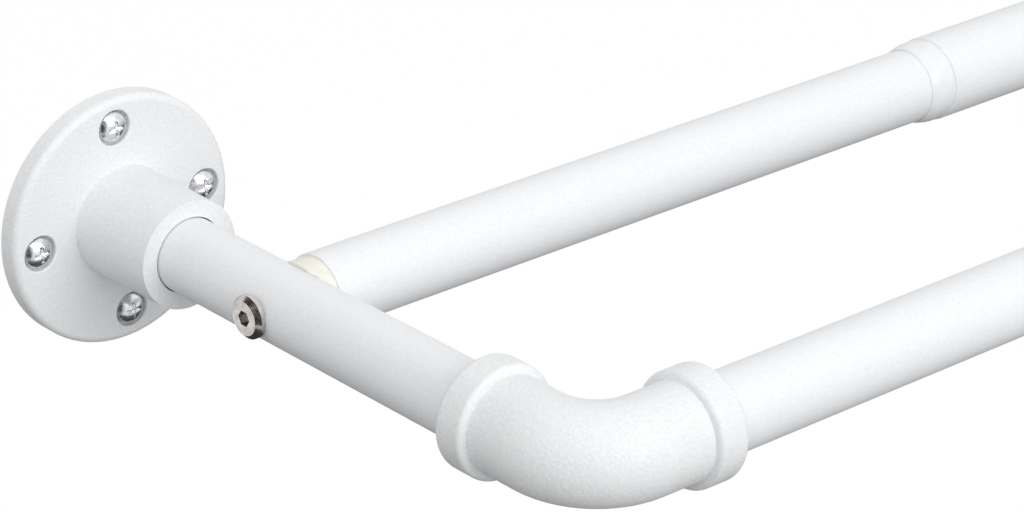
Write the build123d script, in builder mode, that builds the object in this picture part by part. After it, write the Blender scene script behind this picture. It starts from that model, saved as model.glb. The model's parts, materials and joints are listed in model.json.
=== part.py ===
from build123d import *
import os
from math import cos, radians, sqrt

# Double curtain rod: two telescoping rods between a pair of wall brackets made like pipe fittings.
# Millimetres. The origin is the centre of the left flange's back, X runs along the rods to the right,
# Y points into the wall and Z is up, so the brackets stand out towards -Y.

# Layout
back_reach = 76.8  # wall to back rod axis
front_reach = 196.5  # wall to front rod axis
mouth_at = 248.4  # arm axis to the mouth of the sleeve, as extended
sleeve_length = 607.0
overlap = 100.0  # how far a thin tube and its guide reach into the sleeve

# Clearances, all radial
run_gap = 0.3  # between a guide and the sleeve it slides in
nose_gap = 0.05  # between a nose collar and the tube that slides in it
fit_gap = 0.05  # between what is pressed or screwed together
mouth_gap = 0.35  # between a tube and the mouth of its fitting
hole_gap = 0.3  # around a bolt or screw
end_gap = 0.6  # between the arm and the end of the back rod
alike = 0.01  # two radii that differ by less are one

# Tubes
arm_od = 21.3
arm_wall = 2.0
rod_od = 22.2
rod_wall = 0.6
slide_room = 1.0  # between the thin tube and the sleeve, on each side
sleeve_wall = 0.6
sleeve_edge = 0.25

# Screwed spigots of the arm and the front rod
spigot_d = 19.3
spigot_length = 14.0
mouth_depth = 5.0

# Wall flange
flange_d = 73.2
disc_t = 6.4
rim_round = 2.0
back_edge = 1.0
hub_length = 36.2  # wall to the end of the hub
hub_wall = 4.75  # around the mouth, at the end of the hub
hub_flare = 0.4  # how much the hub is thicker at the disc
hub_round = 1.1
hub_fillet = 1.6
mouth_chamfer = 0.4

# Flange screws
screw_count = 4
screw_inset = 8.4  # rim to the axis of a screw
screw_turn = 4.5  # degrees by which the holes are turned from the horizontal
screw_thread_d = 4.8
screw_neck_d = 4.2
screw_head_d = 9.2
screw_head_h = 3.2
screw_head_rim = 1.1
screw_head_round = 0.5
screw_length = 4.2  # in the wall, without its point
screw_point = 4.0
recess_room = 0.6  # between the screw head and its recess
recess_depth = 1.9
recess_round = 0.4
cross_length = 5.0
cross_width = 1.15
cross_depth = 2.0
cross_taper = 9.0

# Elbow
bend_r = 18.0
bend_wall = 3.9  # around the spigot
bead_width = 10.0
bead_land = 12.5  # straight length between the bead and the bend
bead_wall = 4.4  # around the front rod's mouth
bead_round = 2.0
bead_step_round = 1.4
passage_d = 16.0

# Cross bolt, saddle plug and insert
bolt_d = 6.0
bolt_length = 40.0
bolt_head_d = 12.2
bolt_head_h = 2.6
bolt_head_bevel = 1.3
hex_across = 4.0
hex_depth = 3.2
saddle_tip = 5.1  # arm axis to the blunt tips of the saddle
plug_length = 20.0  # inside the tube
insert_d = 9.0
insert_length = 14.0

# Front end plug and guides
end_plug_length = 16.0  # inside the tube
guide_lip = 4.0
guide_spigot = 12.0
guide_bore_d = 16.0

# Nose collars
nose_length = 9.0
nose_lip = 0.1  # wall of the collar at its thin end
nose_crown = 3.0  # from the sleeve back to where the collar is fattest
crown_step = 0.3  # how far it stays below the sleeve there
collar_spigot = 16.0

# Sizes that follow from these
arm_r = arm_od / 2
rod_r = rod_od / 2
rod_bore_r = rod_r - rod_wall
spigot_r = spigot_d / 2
thread_bore_r = spigot_r + fit_gap
sleeve_bore_r = rod_r + slide_room
sleeve_r = sleeve_bore_r + sleeve_wall
span = 2 * mouth_at + sleeve_length
inner_end = mouth_at + overlap

arm_mouth_r = arm_r + mouth_gap
rod_mouth_r = rod_r + mouth_gap
hub_end_r = arm_mouth_r + hub_wall
hub_base_r = hub_end_r + hub_flare
hub_seat = hub_length - mouth_depth
screw_circle_r = flange_d / 2 - screw_inset
screw_seat = disc_t - recess_depth

bead_r = rod_mouth_r + bead_wall
bend_body_r = spigot_r + bend_wall
elbow_reach = bend_r + bead_land + bead_width
elbow_start = front_reach - elbow_reach
rod_seat = elbow_reach - mouth_depth

back_start = arm_r + end_gap
plug_end = back_start + plug_length
insert_start = plug_end - insert_length
guide_start = inner_end - guide_lip

ends = {"left": (0, 1), "right": (span, -1)}  # place of the arm and direction to the middle


def plan_of(end):
    """Plan of one end: local x runs inward along the rods, local y stands out from the wall."""
    place, inward = ends[end]
    return Plane(origin=(place, 0, 0), x_dir=(inward, 0, 0), z_dir=(0, 0, -inward))


def arm_line(plan):
    """Axis of the flange and the arm."""
    return Axis(plan.origin, plan.y_dir)


def rod_line(plan, reach):
    """Axis of a rod, pointing inward."""
    return Axis(plan.from_local_coords((0, reach, 0)), plan.x_dir)


def across_arm(plan, out):
    """Plane across the arm at this distance from the wall, facing away from the wall."""
    return Plane(origin=plan.from_local_coords((0, out, 0)), x_dir=plan.x_dir, z_dir=plan.y_dir)


def across_rod(plan, reach, along):
    """Plane across a rod at this distance from the arm's axis, facing inward."""
    return Plane(origin=plan.from_local_coords((along, reach, 0)), x_dir=plan.y_dir, z_dir=plan.x_dir)


def rims(piece, radius):
    """Round edges of this radius."""
    return piece.edges().filter_by(GeomType.CIRCLE).filter_by(lambda edge: abs(edge.radius - radius) < alike)


def wall_flange(plan):
    """Cast disc and hub, with the arm's socket and a recess for each screw."""
    rim_r = flange_d / 2
    with BuildPart() as flange:
        with BuildSketch(plan) as section:
            with BuildLine():
                Polyline(
                    (thread_bore_r, 0),
                    (rim_r, 0),
                    (rim_r, disc_t),
                    (hub_base_r, disc_t),
                    (hub_end_r, hub_length),
                    (arm_mouth_r, hub_length),
                    (arm_mouth_r, hub_seat),
                    (thread_bore_r, hub_seat),
                    close=True,
                )
            make_face()
            corners = section.vertices()
            fillet(corners.sort_by_distance((rim_r, disc_t))[0], rim_round)
            fillet(corners.sort_by_distance((rim_r, 0))[0], back_edge)
            fillet(corners.sort_by_distance((hub_base_r, disc_t))[0], hub_fillet)
            fillet(corners.sort_by_distance((hub_end_r, hub_length))[0], hub_round)
            chamfer(corners.sort_by_distance((arm_mouth_r, hub_length))[0], mouth_chamfer)
        revolve(axis=arm_line(plan))
        recess_r = screw_head_d / 2 + recess_room
        with Locations(across_arm(plan, disc_t)):
            with PolarLocations(screw_circle_r, screw_count, start_angle=screw_turn):
                CounterBoreHole(screw_thread_d / 2 + hole_gap, recess_r, recess_depth)
        fillet(rims(flange, recess_r).group_by(arm_line(plan))[-1], recess_round)
    return flange.part


def flange_screw():
    """One screw with its axis on Z, its head's seat at 0 and its point down."""
    head_r = screw_head_d / 2
    dome_h = screw_head_h - screw_head_rim
    dome_r = (head_r**2 + dome_h**2) / (2 * dome_h)
    halfway = (head_r / 2, screw_head_h - dome_r + sqrt(dome_r**2 - head_r**2 / 4))
    thread_r = screw_thread_d / 2
    neck_r = screw_neck_d / 2
    thread_end = -screw_seat - screw_length
    with BuildPart() as screw:
        with BuildSketch(Plane.XZ) as section:
            with BuildLine():
                ThreePointArc((0, screw_head_h), halfway, (head_r, screw_head_rim))
                Polyline(
                    (head_r, screw_head_rim),
                    (head_r, 0),
                    (neck_r, 0),
                    (neck_r, -screw_seat),
                    (thread_r, -screw_seat),
                    (thread_r, thread_end),
                    (0, thread_end - screw_point),
                    (0, screw_head_h),
                )
            make_face()
            fillet(section.vertices().sort_by_distance((head_r, screw_head_rim))[0], screw_head_round)
        revolve(axis=Axis.Z)
        with BuildSketch(Plane.XY.offset(screw_head_h)):
            Rectangle(cross_length, cross_width)
            Rectangle(cross_width, cross_length)
        extrude(amount=-cross_depth, taper=cross_taper, mode=Mode.SUBTRACT)
    return screw.part


def flange_screws(plan):
    """The screws of one flange, seated in their recesses."""
    screw = flange_screw()
    with BuildPart() as screws:
        with Locations(across_arm(plan, screw_seat)):
            with PolarLocations(screw_circle_r, screw_count, start_angle=screw_turn):
                add(screw)
    return screws.part


def return_arm(plan):
    """Tube from the flange to the elbow, with a screwed spigot at each end and a hole for the cross bolt."""
    bore_r = arm_r - arm_wall
    front_seat = elbow_start + mouth_depth
    with BuildPart() as arm:
        with BuildSketch(plan):
            with BuildLine():
                Polyline(
                    (bore_r, hub_seat - spigot_length),
                    (spigot_r, hub_seat - spigot_length),
                    (spigot_r, hub_seat),
                    (arm_r, hub_seat),
                    (arm_r, front_seat),
                    (spigot_r, front_seat),
                    (spigot_r, front_seat + spigot_length),
                    (bore_r, front_seat + spigot_length),
                    close=True,
                )
            make_face()
        revolve(axis=arm_line(plan))
        with Locations(across_rod(plan, back_reach, arm_r)):
            Hole(bolt_d / 2 + hole_gap, depth=arm_od)
    return arm.part


def elbow(plan):
    """Cast bend with a raised bead round each mouth and a screwed socket in it."""
    arm_mouth = across_arm(plan, elbow_start)
    rod_mouth = across_rod(plan, front_reach, elbow_reach)
    with BuildPart() as bend:
        with BuildLine(plan) as run:
            FilletPolyline(
                (0, elbow_start),
                (0, front_reach),
                (elbow_reach, front_reach),
                radius=bend_r,
            )
        with BuildSketch(arm_mouth):
            Circle(bend_body_r)
        sweep(path=run.line)
        with BuildSketch(arm_mouth):
            Circle(bead_r)
        extrude(amount=bead_width)
        with BuildSketch(rod_mouth):
            Circle(bead_r)
        extrude(amount=-bead_width)
        corner = plan.from_local_coords((0, front_reach, 0))
        fillet(rims(bend, bead_r).sort_by_distance(corner)[:2], bead_step_round)
        fillet(rims(bend, bead_r).sort_by_distance(corner)[-2:], bead_round)
        with BuildSketch(arm_mouth):
            Circle(passage_d / 2)
        sweep(path=run.line, mode=Mode.SUBTRACT)
        with Locations(Plane(arm_mouth.origin, z_dir=-plan.y_dir)):
            CounterBoreHole(thread_bore_r, arm_mouth_r, mouth_depth, mouth_depth + spigot_length)
        with Locations(rod_mouth):
            CounterBoreHole(thread_bore_r, rod_mouth_r, mouth_depth, mouth_depth + spigot_length)
    return bend.part


def tube(plan, reach, start, end, outer_r, bore_r):
    """Plain tube on a rod's axis."""
    with BuildPart() as pipe:
        with BuildSketch(across_rod(plan, reach, start)):
            Circle(outer_r)
            Circle(bore_r, mode=Mode.SUBTRACT)
        extrude(amount=end - start)
    return pipe.part


def front_end_plug(plan):
    """Screwed end of the front rod: a spigot for the elbow on a plug that is fixed in the tube."""
    with BuildPart() as plug:
        with BuildSketch(across_rod(plan, front_reach, rod_seat)):
            Circle(spigot_r)
        extrude(amount=-spigot_length)
        with BuildSketch(across_rod(plan, front_reach, rod_seat)):
            Circle(rod_bore_r - fit_gap)
        extrude(amount=end_plug_length)
    return plug.part


def saddle_plug(plan):
    """Plug in the end of the back rod, hollowed to sit on the arm and bored for the bolt and its insert."""
    with BuildPart() as plug:
        with BuildSketch(across_rod(plan, back_reach, saddle_tip)):
            Circle(rod_bore_r - fit_gap)
        extrude(amount=plug_end - saddle_tip)
        with BuildSketch(across_arm(plan, back_reach)):
            Circle(arm_r + fit_gap)
        extrude(amount=rod_r, both=True, mode=Mode.SUBTRACT)
        with Locations(across_rod(plan, back_reach, plug_end)):
            CounterBoreHole(bolt_d / 2 + hole_gap, insert_d / 2 + fit_gap, insert_length)
    return plug.part


def threaded_insert(plan):
    """Round nut at the inner end of the saddle plug."""
    return tube(plan, back_reach, insert_start, plug_end, insert_d / 2, bolt_d / 2 + fit_gap)


def cross_bolt(plan):
    """Flat-headed bolt with a hexagon socket, through the arm into the insert."""
    under_head = across_rod(plan, back_reach, -arm_r)
    top = across_rod(plan, back_reach, -arm_r - bolt_head_h)
    with BuildPart() as bolt:
        with BuildSketch(under_head):
            Circle(bolt_d / 2)
        extrude(amount=bolt_length)
        with BuildSketch(under_head):
            Circle(bolt_head_d / 2)
        extrude(amount=-bolt_head_h)
        head_rims = rims(bolt, bolt_head_d / 2).sort_by(rod_line(plan, back_reach))
        chamfer(head_rims[0], bolt_head_bevel)
        with BuildSketch(top):
            RegularPolygon(hex_across / 2 / cos(radians(30)), 6)
        extrude(amount=hex_depth, mode=Mode.SUBTRACT)
    return bolt.part


def rod_guide(plan, reach):
    """Ring on the inner end of a thin tube, which centres it in the sleeve."""
    with BuildPart() as guide:
        with BuildSketch(across_rod(plan, reach, guide_start)):
            Circle(sleeve_bore_r - run_gap)
        extrude(amount=guide_lip)
        with BuildSketch(across_rod(plan, reach, guide_start)):
            Circle(rod_bore_r - fit_gap)
        extrude(amount=-guide_spigot)
        with Locations(across_rod(plan, reach, inner_end)):
            Hole(guide_bore_d / 2)
    return guide.part


def sleeve(reach):
    """Thick outer tube, with its outer edges eased."""
    with BuildPart() as pipe:
        with BuildSketch(across_rod(plan_of("left"), reach, mouth_at)):
            Circle(sleeve_r)
            Circle(sleeve_bore_r, mode=Mode.SUBTRACT)
        extrude(amount=sleeve_length)
        chamfer(rims(pipe, sleeve_r), sleeve_edge)
    return pipe.part


def nose_collar(plan, reach):
    """Tapered ring on the mouth of the sleeve, which guides the thin tube."""
    bore_r = rod_r + nose_gap
    tip_r = bore_r + nose_lip
    crown_r = sleeve_r - crown_step
    rise = crown_r - tip_r
    run = nose_length - nose_crown
    curve_r = (run**2 + rise**2) / (2 * rise)
    brim_r = crown_r - curve_r + sqrt(curve_r**2 - nose_crown**2)
    with BuildPart() as collar:
        with BuildSketch(Plane(plan.from_local_coords((mouth_at, reach, 0)), plan.x_dir, plan.z_dir)):
            with BuildLine():
                ThreePointArc((-nose_length, tip_r), (-nose_crown, crown_r), (0, brim_r))
                Polyline(
                    (0, brim_r),
                    (0, sleeve_bore_r - fit_gap),
                    (collar_spigot, sleeve_bore_r - fit_gap),
                    (collar_spigot, bore_r),
                    (-nose_length, bore_r),
                    (-nose_length, tip_r),
                )
            make_face()
        revolve(axis=rod_line(plan, reach))
    return collar.part


def write(piece, name):
    """Labels a finished piece and writes it under its own name."""
    piece.label = name
    export_step(piece, f"parts/{name}.step")


os.makedirs("parts", exist_ok=True)

for end in ends:
    plan = plan_of(end)
    write(wall_flange(plan), f"{end}_wall_flange")
    write(flange_screws(plan), f"{end}_flange_screws")
    write(return_arm(plan), f"{end}_return_arm")
    write(elbow(plan), f"{end}_elbow")
    write(tube(plan, front_reach, rod_seat, guide_start, rod_r, rod_bore_r), f"{end}_front_tube")
    write(front_end_plug(plan), f"{end}_front_end_plug")
    write(tube(plan, back_reach, back_start, guide_start, rod_r, rod_bore_r), f"{end}_back_tube")
    write(saddle_plug(plan), f"{end}_saddle_plug")
    write(threaded_insert(plan), f"{end}_threaded_insert")
    write(cross_bolt(plan), f"{end}_cross_bolt")
    for rod, reach in {"front": front_reach, "back": back_reach}.items():
        write(rod_guide(plan, reach), f"{end}_{rod}_guide")
        write(nose_collar(plan, reach), f"{rod}_sleeve_{end}_collar")

for rod, reach in {"front": front_reach, "back": back_reach}.items():
    write(sleeve(reach), f"{rod}_sleeve")
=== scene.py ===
import json
import math

import bmesh
import bpy
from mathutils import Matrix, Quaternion, Vector


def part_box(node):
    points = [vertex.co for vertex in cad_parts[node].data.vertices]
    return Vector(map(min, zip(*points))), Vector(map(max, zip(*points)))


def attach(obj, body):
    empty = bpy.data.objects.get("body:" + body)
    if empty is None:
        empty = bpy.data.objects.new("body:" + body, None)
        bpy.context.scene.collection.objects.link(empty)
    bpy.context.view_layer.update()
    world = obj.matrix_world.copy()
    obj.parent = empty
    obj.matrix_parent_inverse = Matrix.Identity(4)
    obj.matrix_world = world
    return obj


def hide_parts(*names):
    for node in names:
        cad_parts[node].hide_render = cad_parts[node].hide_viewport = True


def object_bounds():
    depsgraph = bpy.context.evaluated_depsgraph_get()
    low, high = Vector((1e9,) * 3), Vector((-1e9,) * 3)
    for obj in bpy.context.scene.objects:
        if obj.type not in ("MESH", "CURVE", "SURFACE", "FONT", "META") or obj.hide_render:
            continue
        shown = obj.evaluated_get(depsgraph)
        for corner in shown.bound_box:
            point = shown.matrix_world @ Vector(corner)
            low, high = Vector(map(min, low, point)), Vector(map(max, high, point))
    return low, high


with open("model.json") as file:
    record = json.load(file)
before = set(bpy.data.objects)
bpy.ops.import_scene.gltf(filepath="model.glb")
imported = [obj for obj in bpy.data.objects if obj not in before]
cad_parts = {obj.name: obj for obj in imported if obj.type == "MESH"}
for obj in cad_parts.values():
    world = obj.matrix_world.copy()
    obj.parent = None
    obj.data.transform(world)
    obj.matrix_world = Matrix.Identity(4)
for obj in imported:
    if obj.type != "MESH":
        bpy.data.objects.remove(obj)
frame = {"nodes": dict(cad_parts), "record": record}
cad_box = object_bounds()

# Looks of the double curtain rod, in metres, in the frame of its solids: X along the rods,
# Y into the wall, Z up.
MM = 0.001
WHITE = (1, 1, 1, 1)

# Camera, at the photograph's viewing angle
AZIMUTH = math.radians(-42.126)
ELEVATION = math.radians(24.932)
ROLL = math.radians(1.174)
AIM = Vector((67.35, -92.32, 0.0)) * MM  # the point in the middle of the picture
DISTANCE = 1108.6 * MM
SENSOR_WIDTH = 36.0  # in millimetres, like the lens
LENS = 143.06

# Stage
FLOOR_DROP = 0.75  # how far the floor lies below the part
FLOOR_SIZE = 40.0
FLOOR_BOUNCE = (0.37, 0.37, 0.37, 1)  # grey that the floor throws back onto the undersides
FLOOR_SHADOW = 0.12  # share of real light in the white that the camera sees
FLOOR_WHITE = 1.024  # strength of the rest, so that the sum is white where no shadow falls
SKY_LIGHT = 0.715
LAMP_SIZE = 2.4
LAMPS = (  # name, place from the middle of the part, watts
    ("key", (-0.18, -3.61, 1.66), 57),
    ("fill", (-2.58, -2.09, 2.68), 27),
)
FLAG_BLACK = (0.02, 0.02, 0.022, 1)
FLAGS = (  # name, place and the point that it faces, both from AIM, width, height
    ("left_flag", (-1.144, -0.468, 0.065), (0, 0, 0), 1.7, 1.9),
    ("high_flag", (-0.78, 0.468, 0.91), (0, 0, 0), 1.3, 0.8),
    ("low_flag", (0.85, 0.12, -0.35), (0.85, 0.12, 0), 2.6, 0.75),
)

# Paint, plastic and metal
PATTERN_LOW, PATTERN_HIGH = 0.3, 0.7  # the part of its range that a noise fills
SATIN_SPECULAR = 0.4  # of paint and plastic
COAT_PEEL = 1.0 * MM  # size of the orange peel
COAT_GRAIN = COAT_PEEL / 3
COAT_MOTTLE = COAT_PEEL * 0.8
COAT_ROUGHNESS = (0.42, 0.56)
PLASTIC_GRAIN = 0.35 * MM
PLASTIC_GRAIN_DEPTH = 0.02 * MM
PLASTIC_MOTTLE = 3.0 * MM
PLASTIC_SCATTER = (0.6 * MM, 0.5 * MM, 0.4 * MM)  # how far light runs under the surface
PLASTIC_ROUGHNESS = (-0.06, 0.08)  # range about a plastic's own roughness
METAL_PATCH = 1.6 * MM
METAL_PATCH_DEPTH = 0.03 * MM
METAL_WEAR = 0.5 * MM
METAL_ROUGHNESS = (-0.08, 0.1)  # range about a metal's own roughness
RING_DEPTH = 0.004 * MM

# Wood screws
THREAD_PITCH = 2.1 * MM
THREAD_CORE = 1.65 * MM
THREAD_CREST = 2.4 * MM
THREAD_STEPS = 28  # points round one turn
THREAD_PROFILE = (  # share of the pitch, share of the ridge's height
    (0.0, 0.0), (0.36, 0.0), (0.47, 1.0), (0.53, 1.0), (0.64, 0.0),
)
THREAD_LEAD_IN = 1.0 * MM  # the shank starts this far inside the neck
POINT_LENGTH = 4.0 * MM
SHARP_ANGLE = math.radians(30)  # faces that meet at more than this have an edge
MERGE = 0.001 * MM  # points nearer than this are one

# Round pieces with a seam in their shading, along the front of the rods
SEAMED = ("_tube", "_arm", "_sleeve", "_collar")
SEAM_COSINE = math.cos(math.radians(15))  # normals nearer than this meet at a seam, not at an edge


def feed(node, inputs):
    """Sets inputs of a node, by name or number, to constants or to outputs of other nodes."""
    for key, value in inputs.items():
        if isinstance(value, bpy.types.NodeSocket):
            node.id_data.links.new(value, node.inputs[key])
        else:
            node.inputs[key].default_value = value


def add_node(tree, kind, inputs):
    """Adds a node with its inputs set."""
    node = tree.nodes.new(kind)
    feed(node, inputs)
    return node


def maths(tree, operation, *values):
    """Result of an operation on constants or outputs of nodes."""
    node = add_node(tree, "ShaderNodeMath", dict(enumerate(values)))
    node.operation = operation
    return node.outputs["Value"]


class Finish:
    """A material under construction: a principled shader and the nodes that feed it."""

    def __init__(self, name, inputs):
        self.material = bpy.data.materials.new(name)
        self.material.use_nodes = True
        self.tree = self.material.node_tree
        self.shader = self.tree.nodes["Principled BSDF"]
        feed(self.shader, inputs)
        self.place = self.tree.nodes.new("ShaderNodeTexCoord").outputs["Object"]
        self.normal = None

    def noise(self, size, detail=2.0, roughness=0.5):
        """Noise whose grains are about this size."""
        inputs = {"Vector": self.place, "Scale": 1 / size, "Detail": detail, "Roughness": roughness}
        return add_node(self.tree, "ShaderNodeTexNoise", inputs).outputs["Fac"]

    def rings(self, axis_y, pitch):
        """Waves round an axis along X, at this Y and at Z = 0."""
        split = add_node(self.tree, "ShaderNodeSeparateXYZ", {"Vector": self.place})
        across = maths(self.tree, "SUBTRACT", split.outputs["Y"], axis_y)
        squares = [maths(self.tree, "POWER", leg, 2) for leg in (across, split.outputs["Z"])]
        radius = maths(self.tree, "SQRT", maths(self.tree, "ADD", *squares))
        turns = maths(self.tree, "MULTIPLY", radius, 2 * math.pi / pitch)
        return maths(self.tree, "SINE", turns)

    def colours(self, factor, dark, light):
        """Runs the base colour from dark to light along a noise."""
        ramp = add_node(self.tree, "ShaderNodeValToRGB", {"Fac": factor})
        stops = ((PATTERN_LOW, dark), (PATTERN_HIGH, light))
        for element, (position, colour) in zip(ramp.color_ramp.elements, stops):
            element.position = position
            element.color = (*colour, 1)
        feed(self.shader, {"Base Color": ramp.outputs["Color"]})

    def roughness(self, factor, low, high):
        """Runs the roughness from low to high along a noise."""
        inputs = {
            "Value": factor,
            "From Min": PATTERN_LOW,
            "From Max": PATTERN_HIGH,
            "To Min": low,
            "To Max": high,
        }
        spread = add_node(self.tree, "ShaderNodeMapRange", inputs)
        feed(self.shader, {"Roughness": spread.outputs["Result"]})

    def bump(self, height, depth):
        """Adds relief of this depth on top of what is there."""
        inputs = {"Height": height, "Strength": 1.0, "Distance": depth}
        if self.normal:
            inputs["Normal"] = self.normal
        self.normal = add_node(self.tree, "ShaderNodeBump", inputs).outputs["Normal"]
        feed(self.shader, {"Normal": self.normal})


def powder_coat(name, dark, light, peel_depth, grain_depth):
    """White powder coat: soft orange peel, finer grain in it and a faint mottle."""
    coat = Finish(name, {"Specular IOR Level": SATIN_SPECULAR})
    peel = coat.noise(COAT_PEEL, detail=3.0)
    grain = coat.noise(COAT_GRAIN)
    coat.colours(coat.noise(COAT_MOTTLE, detail=3.0, roughness=0.6), dark, light)
    coat.roughness(grain, *COAT_ROUGHNESS)
    coat.bump(peel, peel_depth)
    coat.bump(grain, grain_depth)
    return coat.material


def moulded(name, dark, light, rough, subsurface):
    """Moulded plastic: satin, with a slow mottle and a fine spark-eroded grain."""
    plastic = Finish(name, {
        "Subsurface Weight": subsurface,
        "Subsurface Radius": PLASTIC_SCATTER,
        "Subsurface Scale": 1.0,
        "Specular IOR Level": SATIN_SPECULAR,
    })
    grain = plastic.noise(PLASTIC_GRAIN)
    plastic.colours(plastic.noise(PLASTIC_MOTTLE, detail=4.0), dark, light)
    plastic.roughness(grain, *(rough + change for change in PLASTIC_ROUGHNESS))
    plastic.bump(grain, PLASTIC_GRAIN_DEPTH)
    return plastic.material


def plated(name, dark, light, rough, turned=None):
    """Plated metal: faint patches, worn gloss and, where it was turned, rings round an axis."""
    metal = Finish(name, {"Metallic": 1.0})
    patch = metal.noise(METAL_PATCH, detail=5.0, roughness=0.65)
    metal.colours(patch, dark, light)
    wear = metal.noise(METAL_WEAR, detail=3.0)
    metal.roughness(wear, *(rough + change for change in METAL_ROUGHNESS))
    metal.bump(patch, METAL_PATCH_DEPTH)
    if turned:
        metal.bump(metal.rings(*turned), RING_DEPTH)
    return metal.material


back_axis_y = sum(corner.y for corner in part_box("left_back_tube")) / 2
front_axis_y = sum(corner.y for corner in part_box("left_front_tube")) / 2

looks = (
    ("white_casting", powder_coat, dict(
        dark=(0.815, 0.829, 0.838), light=(0.910, 0.923, 0.931),
        peel_depth=0.17 * MM, grain_depth=0.06 * MM,
    )),
    ("white_tube", powder_coat, dict(
        dark=(0.838, 0.851, 0.870), light=(0.904, 0.917, 0.934),
        peel_depth=0.05 * MM, grain_depth=0.025 * MM,
    )),
    ("white_plastic", moulded, dict(
        dark=(0.850, 0.858, 0.876), light=(0.895, 0.903, 0.918), rough=0.4, subsurface=0.1,
    )),
    ("cream_plastic", moulded, dict(
        dark=(0.840, 0.820, 0.745), light=(0.880, 0.865, 0.800), rough=0.5, subsurface=0.2,
    )),
    ("guide_plastic", moulded, dict(
        dark=(0.660, 0.660, 0.630), light=(0.740, 0.740, 0.720), rough=0.5, subsurface=0.1,
    )),
    ("zinc_screw", plated, dict(
        dark=(0.620, 0.630, 0.645), light=(0.860, 0.870, 0.885), rough=0.25,
    )),
    ("nickel_bolt", plated, dict(
        dark=(0.505, 0.468, 0.447), light=(0.740, 0.704, 0.672), rough=0.22,
        turned=(back_axis_y, 0.35 * MM),
    )),
    ("plug_metal", plated, dict(
        dark=(0.500, 0.500, 0.510), light=(0.660, 0.660, 0.670), rough=0.35,
        turned=(front_axis_y, 0.5 * MM),
    )),
    ("insert_brass", plated, dict(
        dark=(0.620, 0.450, 0.200), light=(0.830, 0.660, 0.330), rough=0.3,
        turned=(back_axis_y, 0.5 * MM),
    )),
)
finishes = {slot: make(slot, **look) for slot, make, look in looks}

slots = {subpart["node"]: subpart["material_slot"] for subpart in frame["record"]["subparts"]}
for node_name, slot in slots.items():
    materials = frame["nodes"][node_name].data.materials
    materials.clear()
    materials.append(finishes[slot])


def add_object(name, data):
    """Adds an object at the origin."""
    thing = bpy.data.objects.new(name, data)
    bpy.context.scene.collection.objects.link(thing)
    return thing


def stand_in(name, mesh, node_name, body):
    """Adds a piece that takes the place of a node."""
    piece = add_object(name, mesh)
    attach(piece, body)
    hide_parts(node_name)


def seamless(node_name, body):
    """Stands a copy in for a node, shaded evenly across the seams of its round faces."""
    mesh = frame["nodes"][node_name].data.copy()
    normals = [corner.vector.copy() for corner in mesh.corner_normals]
    corners_at = {}
    for corner, loop in enumerate(mesh.loops):
        place = tuple(round(share / MERGE) for share in mesh.vertices[loop.vertex_index].co)
        corners_at.setdefault(place, []).append(corner)
    even = list(normals)
    for corners in corners_at.values():
        for corner in corners:
            own = normals[corner]
            near = [normals[other] for other in corners if own.dot(normals[other]) > SEAM_COSINE]
            across_seam = min(near, key=own.dot)  # the corner's own normal where there is no seam
            even[corner] = (own + across_seam).normalized()
    mesh.normals_split_custom_set(even)
    stand_in(f"{node_name}_seamless", mesh, node_name, body)


def add_threaded_shank(bm, start, length):
    """Adds a wood screw's shank along +Y: a helical ridge on a core that runs out to a point."""
    turns = math.ceil(length / THREAD_PITCH)
    rows = []
    for step in range(-THREAD_STEPS, (turns + 1) * THREAD_STEPS + 1):
        angle = 2 * math.pi * step / THREAD_STEPS
        row = []
        for share, height in THREAD_PROFILE:
            along = min(max(0.0, (step / THREAD_STEPS + share) * THREAD_PITCH), length)
            taper = min(1.0, (length - along) / POINT_LENGTH)
            ridge = height * (THREAD_CREST - THREAD_CORE) * min(1.0, along / THREAD_PITCH)
            radius = (THREAD_CORE + ridge) * taper
            around = Vector((math.cos(angle) * radius, along, math.sin(angle) * radius))
            row.append(bm.verts.new(start + around))
        rows.append(row)
    for step, (row, after) in enumerate(zip(rows, rows[1:])):
        pairs = list(zip(row, after))
        next_turn = rows[step + THREAD_STEPS:step + THREAD_STEPS + 2]
        if len(next_turn) == 2:
            pairs.append((next_turn[0][0], next_turn[1][0]))
        for (low, low_after), (high, high_after) in zip(pairs, pairs[1:]):
            bm.faces.new((low, high, high_after, low_after))
    bmesh.ops.remove_doubles(bm, verts=[vert for row in rows for vert in row], dist=MERGE)


def threaded_screws(end):
    """Stands in for the flange screws of one end, with the thread that holds in the wall."""
    name = f"{end}_threaded_screws"
    node = frame["nodes"][f"{end}_flange_screws"]
    bm = bmesh.new()
    bm.from_mesh(node.data)
    bmesh.ops.remove_doubles(bm, verts=bm.verts, dist=MERGE)
    shanks = [face for face in bm.faces if min(vert.co.y for vert in face.verts) > -MERGE]
    length = max(vert.co.y for vert in bm.verts)
    tips = [vert.co.copy() for vert in bm.verts if vert.co.y > length - MERGE]
    bmesh.ops.delete(bm, geom=shanks, context="FACES")
    bmesh.ops.holes_fill(bm, edges=bm.edges, sides=0)
    for tip in tips:
        start = Vector((tip.x, -THREAD_LEAD_IN, tip.z))
        add_threaded_shank(bm, start, length + THREAD_LEAD_IN)
    bmesh.ops.holes_fill(bm, edges=bm.edges, sides=0)
    bmesh.ops.recalc_face_normals(bm, faces=bm.faces)
    mesh = bpy.data.meshes.new(name)
    bm.normal_update()
    bm.to_mesh(mesh)
    bm.free()
    mesh.polygons.foreach_set("use_smooth", [True] * len(mesh.polygons))
    mesh.set_sharp_from_angle(angle=SHARP_ANGLE)
    mesh.materials.append(finishes[slots[node.name]])
    stand_in(name, mesh, node.name, f"{end}_end")


def mix_shaders(tree, share, first, second):
    """Mixes two shader nodes, by the share of the second one."""
    inputs = {"Fac": share, 1: first.outputs[0], 2: second.outputs[0]}
    return add_node(tree, "ShaderNodeMixShader", inputs)


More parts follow.
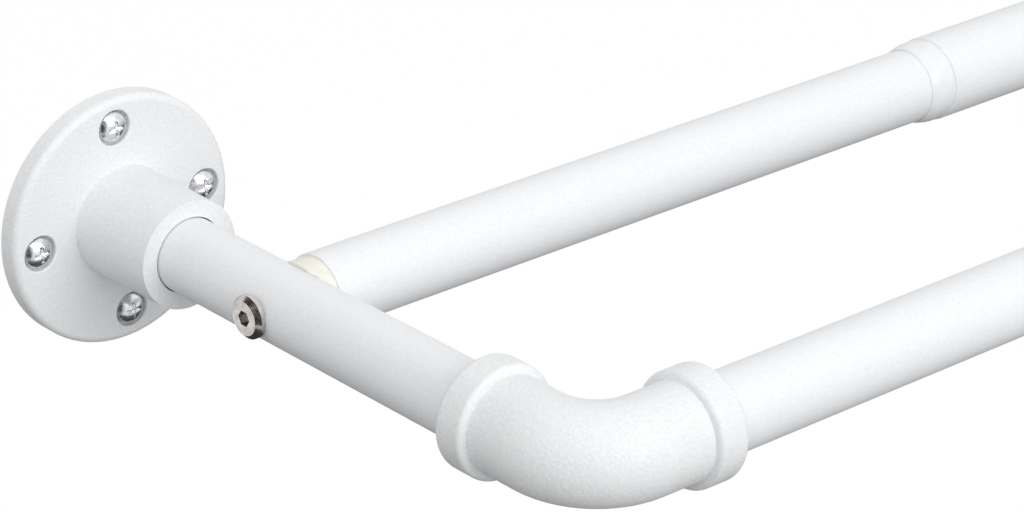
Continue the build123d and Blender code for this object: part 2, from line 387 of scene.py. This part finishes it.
def finish_backdrop(tree, light, shown, output):
    """Ends a tree that lights the object with one shader node and shows another one to the rays
    that see a background: from the camera, in metal and through glass."""
    path = tree.nodes.new("ShaderNodeLightPath")
    seen = path.outputs["Is Camera Ray"]
    for ray in ("Is Glossy Ray", "Is Transmission Ray"):
        seen = maths(tree, "MAXIMUM", seen, path.outputs[ray])
    either = mix_shaders(tree, seen, light, shown)
    add_node(tree, output, {"Surface": either.outputs[0]})


def add_card(name, width, height, material):
    """Adds a flat rectangle that faces up."""
    mesh = bpy.data.meshes.new(name)
    x, y = width / 2, height / 2
    mesh.from_pydata([(-x, -y, 0), (x, -y, 0), (x, y, 0), (-x, y, 0)], [], [(0, 1, 2, 3)])
    mesh.materials.append(material)
    return add_object(name, mesh)


def make_floor():
    """Pale floor that the camera sees white, with the object's shadow on it."""
    material = bpy.data.materials.new("floor")
    material.use_nodes = True
    tree = material.node_tree
    tree.nodes.clear()
    bounce = add_node(tree, "ShaderNodeBsdfDiffuse", {"Color": FLOOR_BOUNCE})
    white = add_node(tree, "ShaderNodeEmission", {"Strength": FLOOR_WHITE})
    shadowed = add_node(tree, "ShaderNodeBsdfDiffuse", {"Color": WHITE})
    shown = mix_shaders(tree, FLOOR_SHADOW, white, shadowed)
    finish_backdrop(tree, bounce, shown, "ShaderNodeOutputMaterial")
    floor = add_card("floor", FLOOR_SIZE, FLOOR_SIZE, material)
    floor.location.z = cad_box[0].z - FLOOR_DROP


def make_sky():
    """White background, and an even soft light from all round."""
    world = bpy.data.worlds.new("studio")
    world.use_nodes = True
    tree = world.node_tree
    tree.nodes.clear()
    light = add_node(tree, "ShaderNodeBackground", {"Color": WHITE, "Strength": SKY_LIGHT})
    white = add_node(tree, "ShaderNodeBackground", {"Color": WHITE})
    finish_backdrop(tree, light, white, "ShaderNodeOutputWorld")
    bpy.context.scene.world = world


def place_facing(thing, place, aim, front):
    """Puts an object at a place and turns its front towards a point."""
    thing.location = place
    thing.rotation_euler = (aim - place).to_track_quat(front, "Y").to_euler()


def add_lamp(name, place, aim, power):
    """Square soft box."""
    lamp = bpy.data.lights.new(name, "AREA")
    lamp.size = LAMP_SIZE
    lamp.energy = power
    place_facing(add_object(name, lamp), place, aim, "-Z")


def add_flag(name, place, aim, width, height):
    """Black card beside the lights, seen only in the gloss of metal."""
    material = bpy.data.materials.new(name)
    material.use_nodes = True
    feed(material.node_tree.nodes["Principled BSDF"], {"Base Color": FLAG_BLACK})
    flag = add_card(name, width, height, material)
    place_facing(flag, place, aim, "Z")
    flag.visible_camera = False
    flag.visible_diffuse = False
    flag.visible_shadow = False


def make_camera():
    """Camera on the photograph's line of sight."""
    back = Vector((
        math.sin(AZIMUTH) * math.cos(ELEVATION),
        -math.cos(AZIMUTH) * math.cos(ELEVATION),
        math.sin(ELEVATION),
    ))
    data = bpy.data.cameras.new("camera")
    data.sensor_width = SENSOR_WIDTH
    data.lens = LENS
    camera = add_object("camera", data)
    camera.location = AIM + back * DISTANCE
    camera.rotation_mode = "QUATERNION"
    camera.rotation_quaternion = back.to_track_quat("Z", "Y") @ Quaternion((0, 0, 1), ROLL)
    bpy.context.scene.camera = camera


for body, node_names in frame["record"]["behaviour"]["bodies"].items():
    for node_name in node_names:
        if node_name.endswith(SEAMED):
            seamless(node_name, body)
for end in ("left", "right"):
    threaded_screws(end)

make_floor()
make_sky()
middle = (cad_box[0] + cad_box[1]) / 2
for name, offset, power in LAMPS:
    add_lamp(name, middle + Vector(offset), middle, power)
make_camera()
for name, offset, aim_offset, width, height in FLAGS:
    add_flag(name, AIM + Vector(offset), AIM + Vector(aim_offset), width, height)
bpy.context.scene.view_settings.view_transform = "Standard"
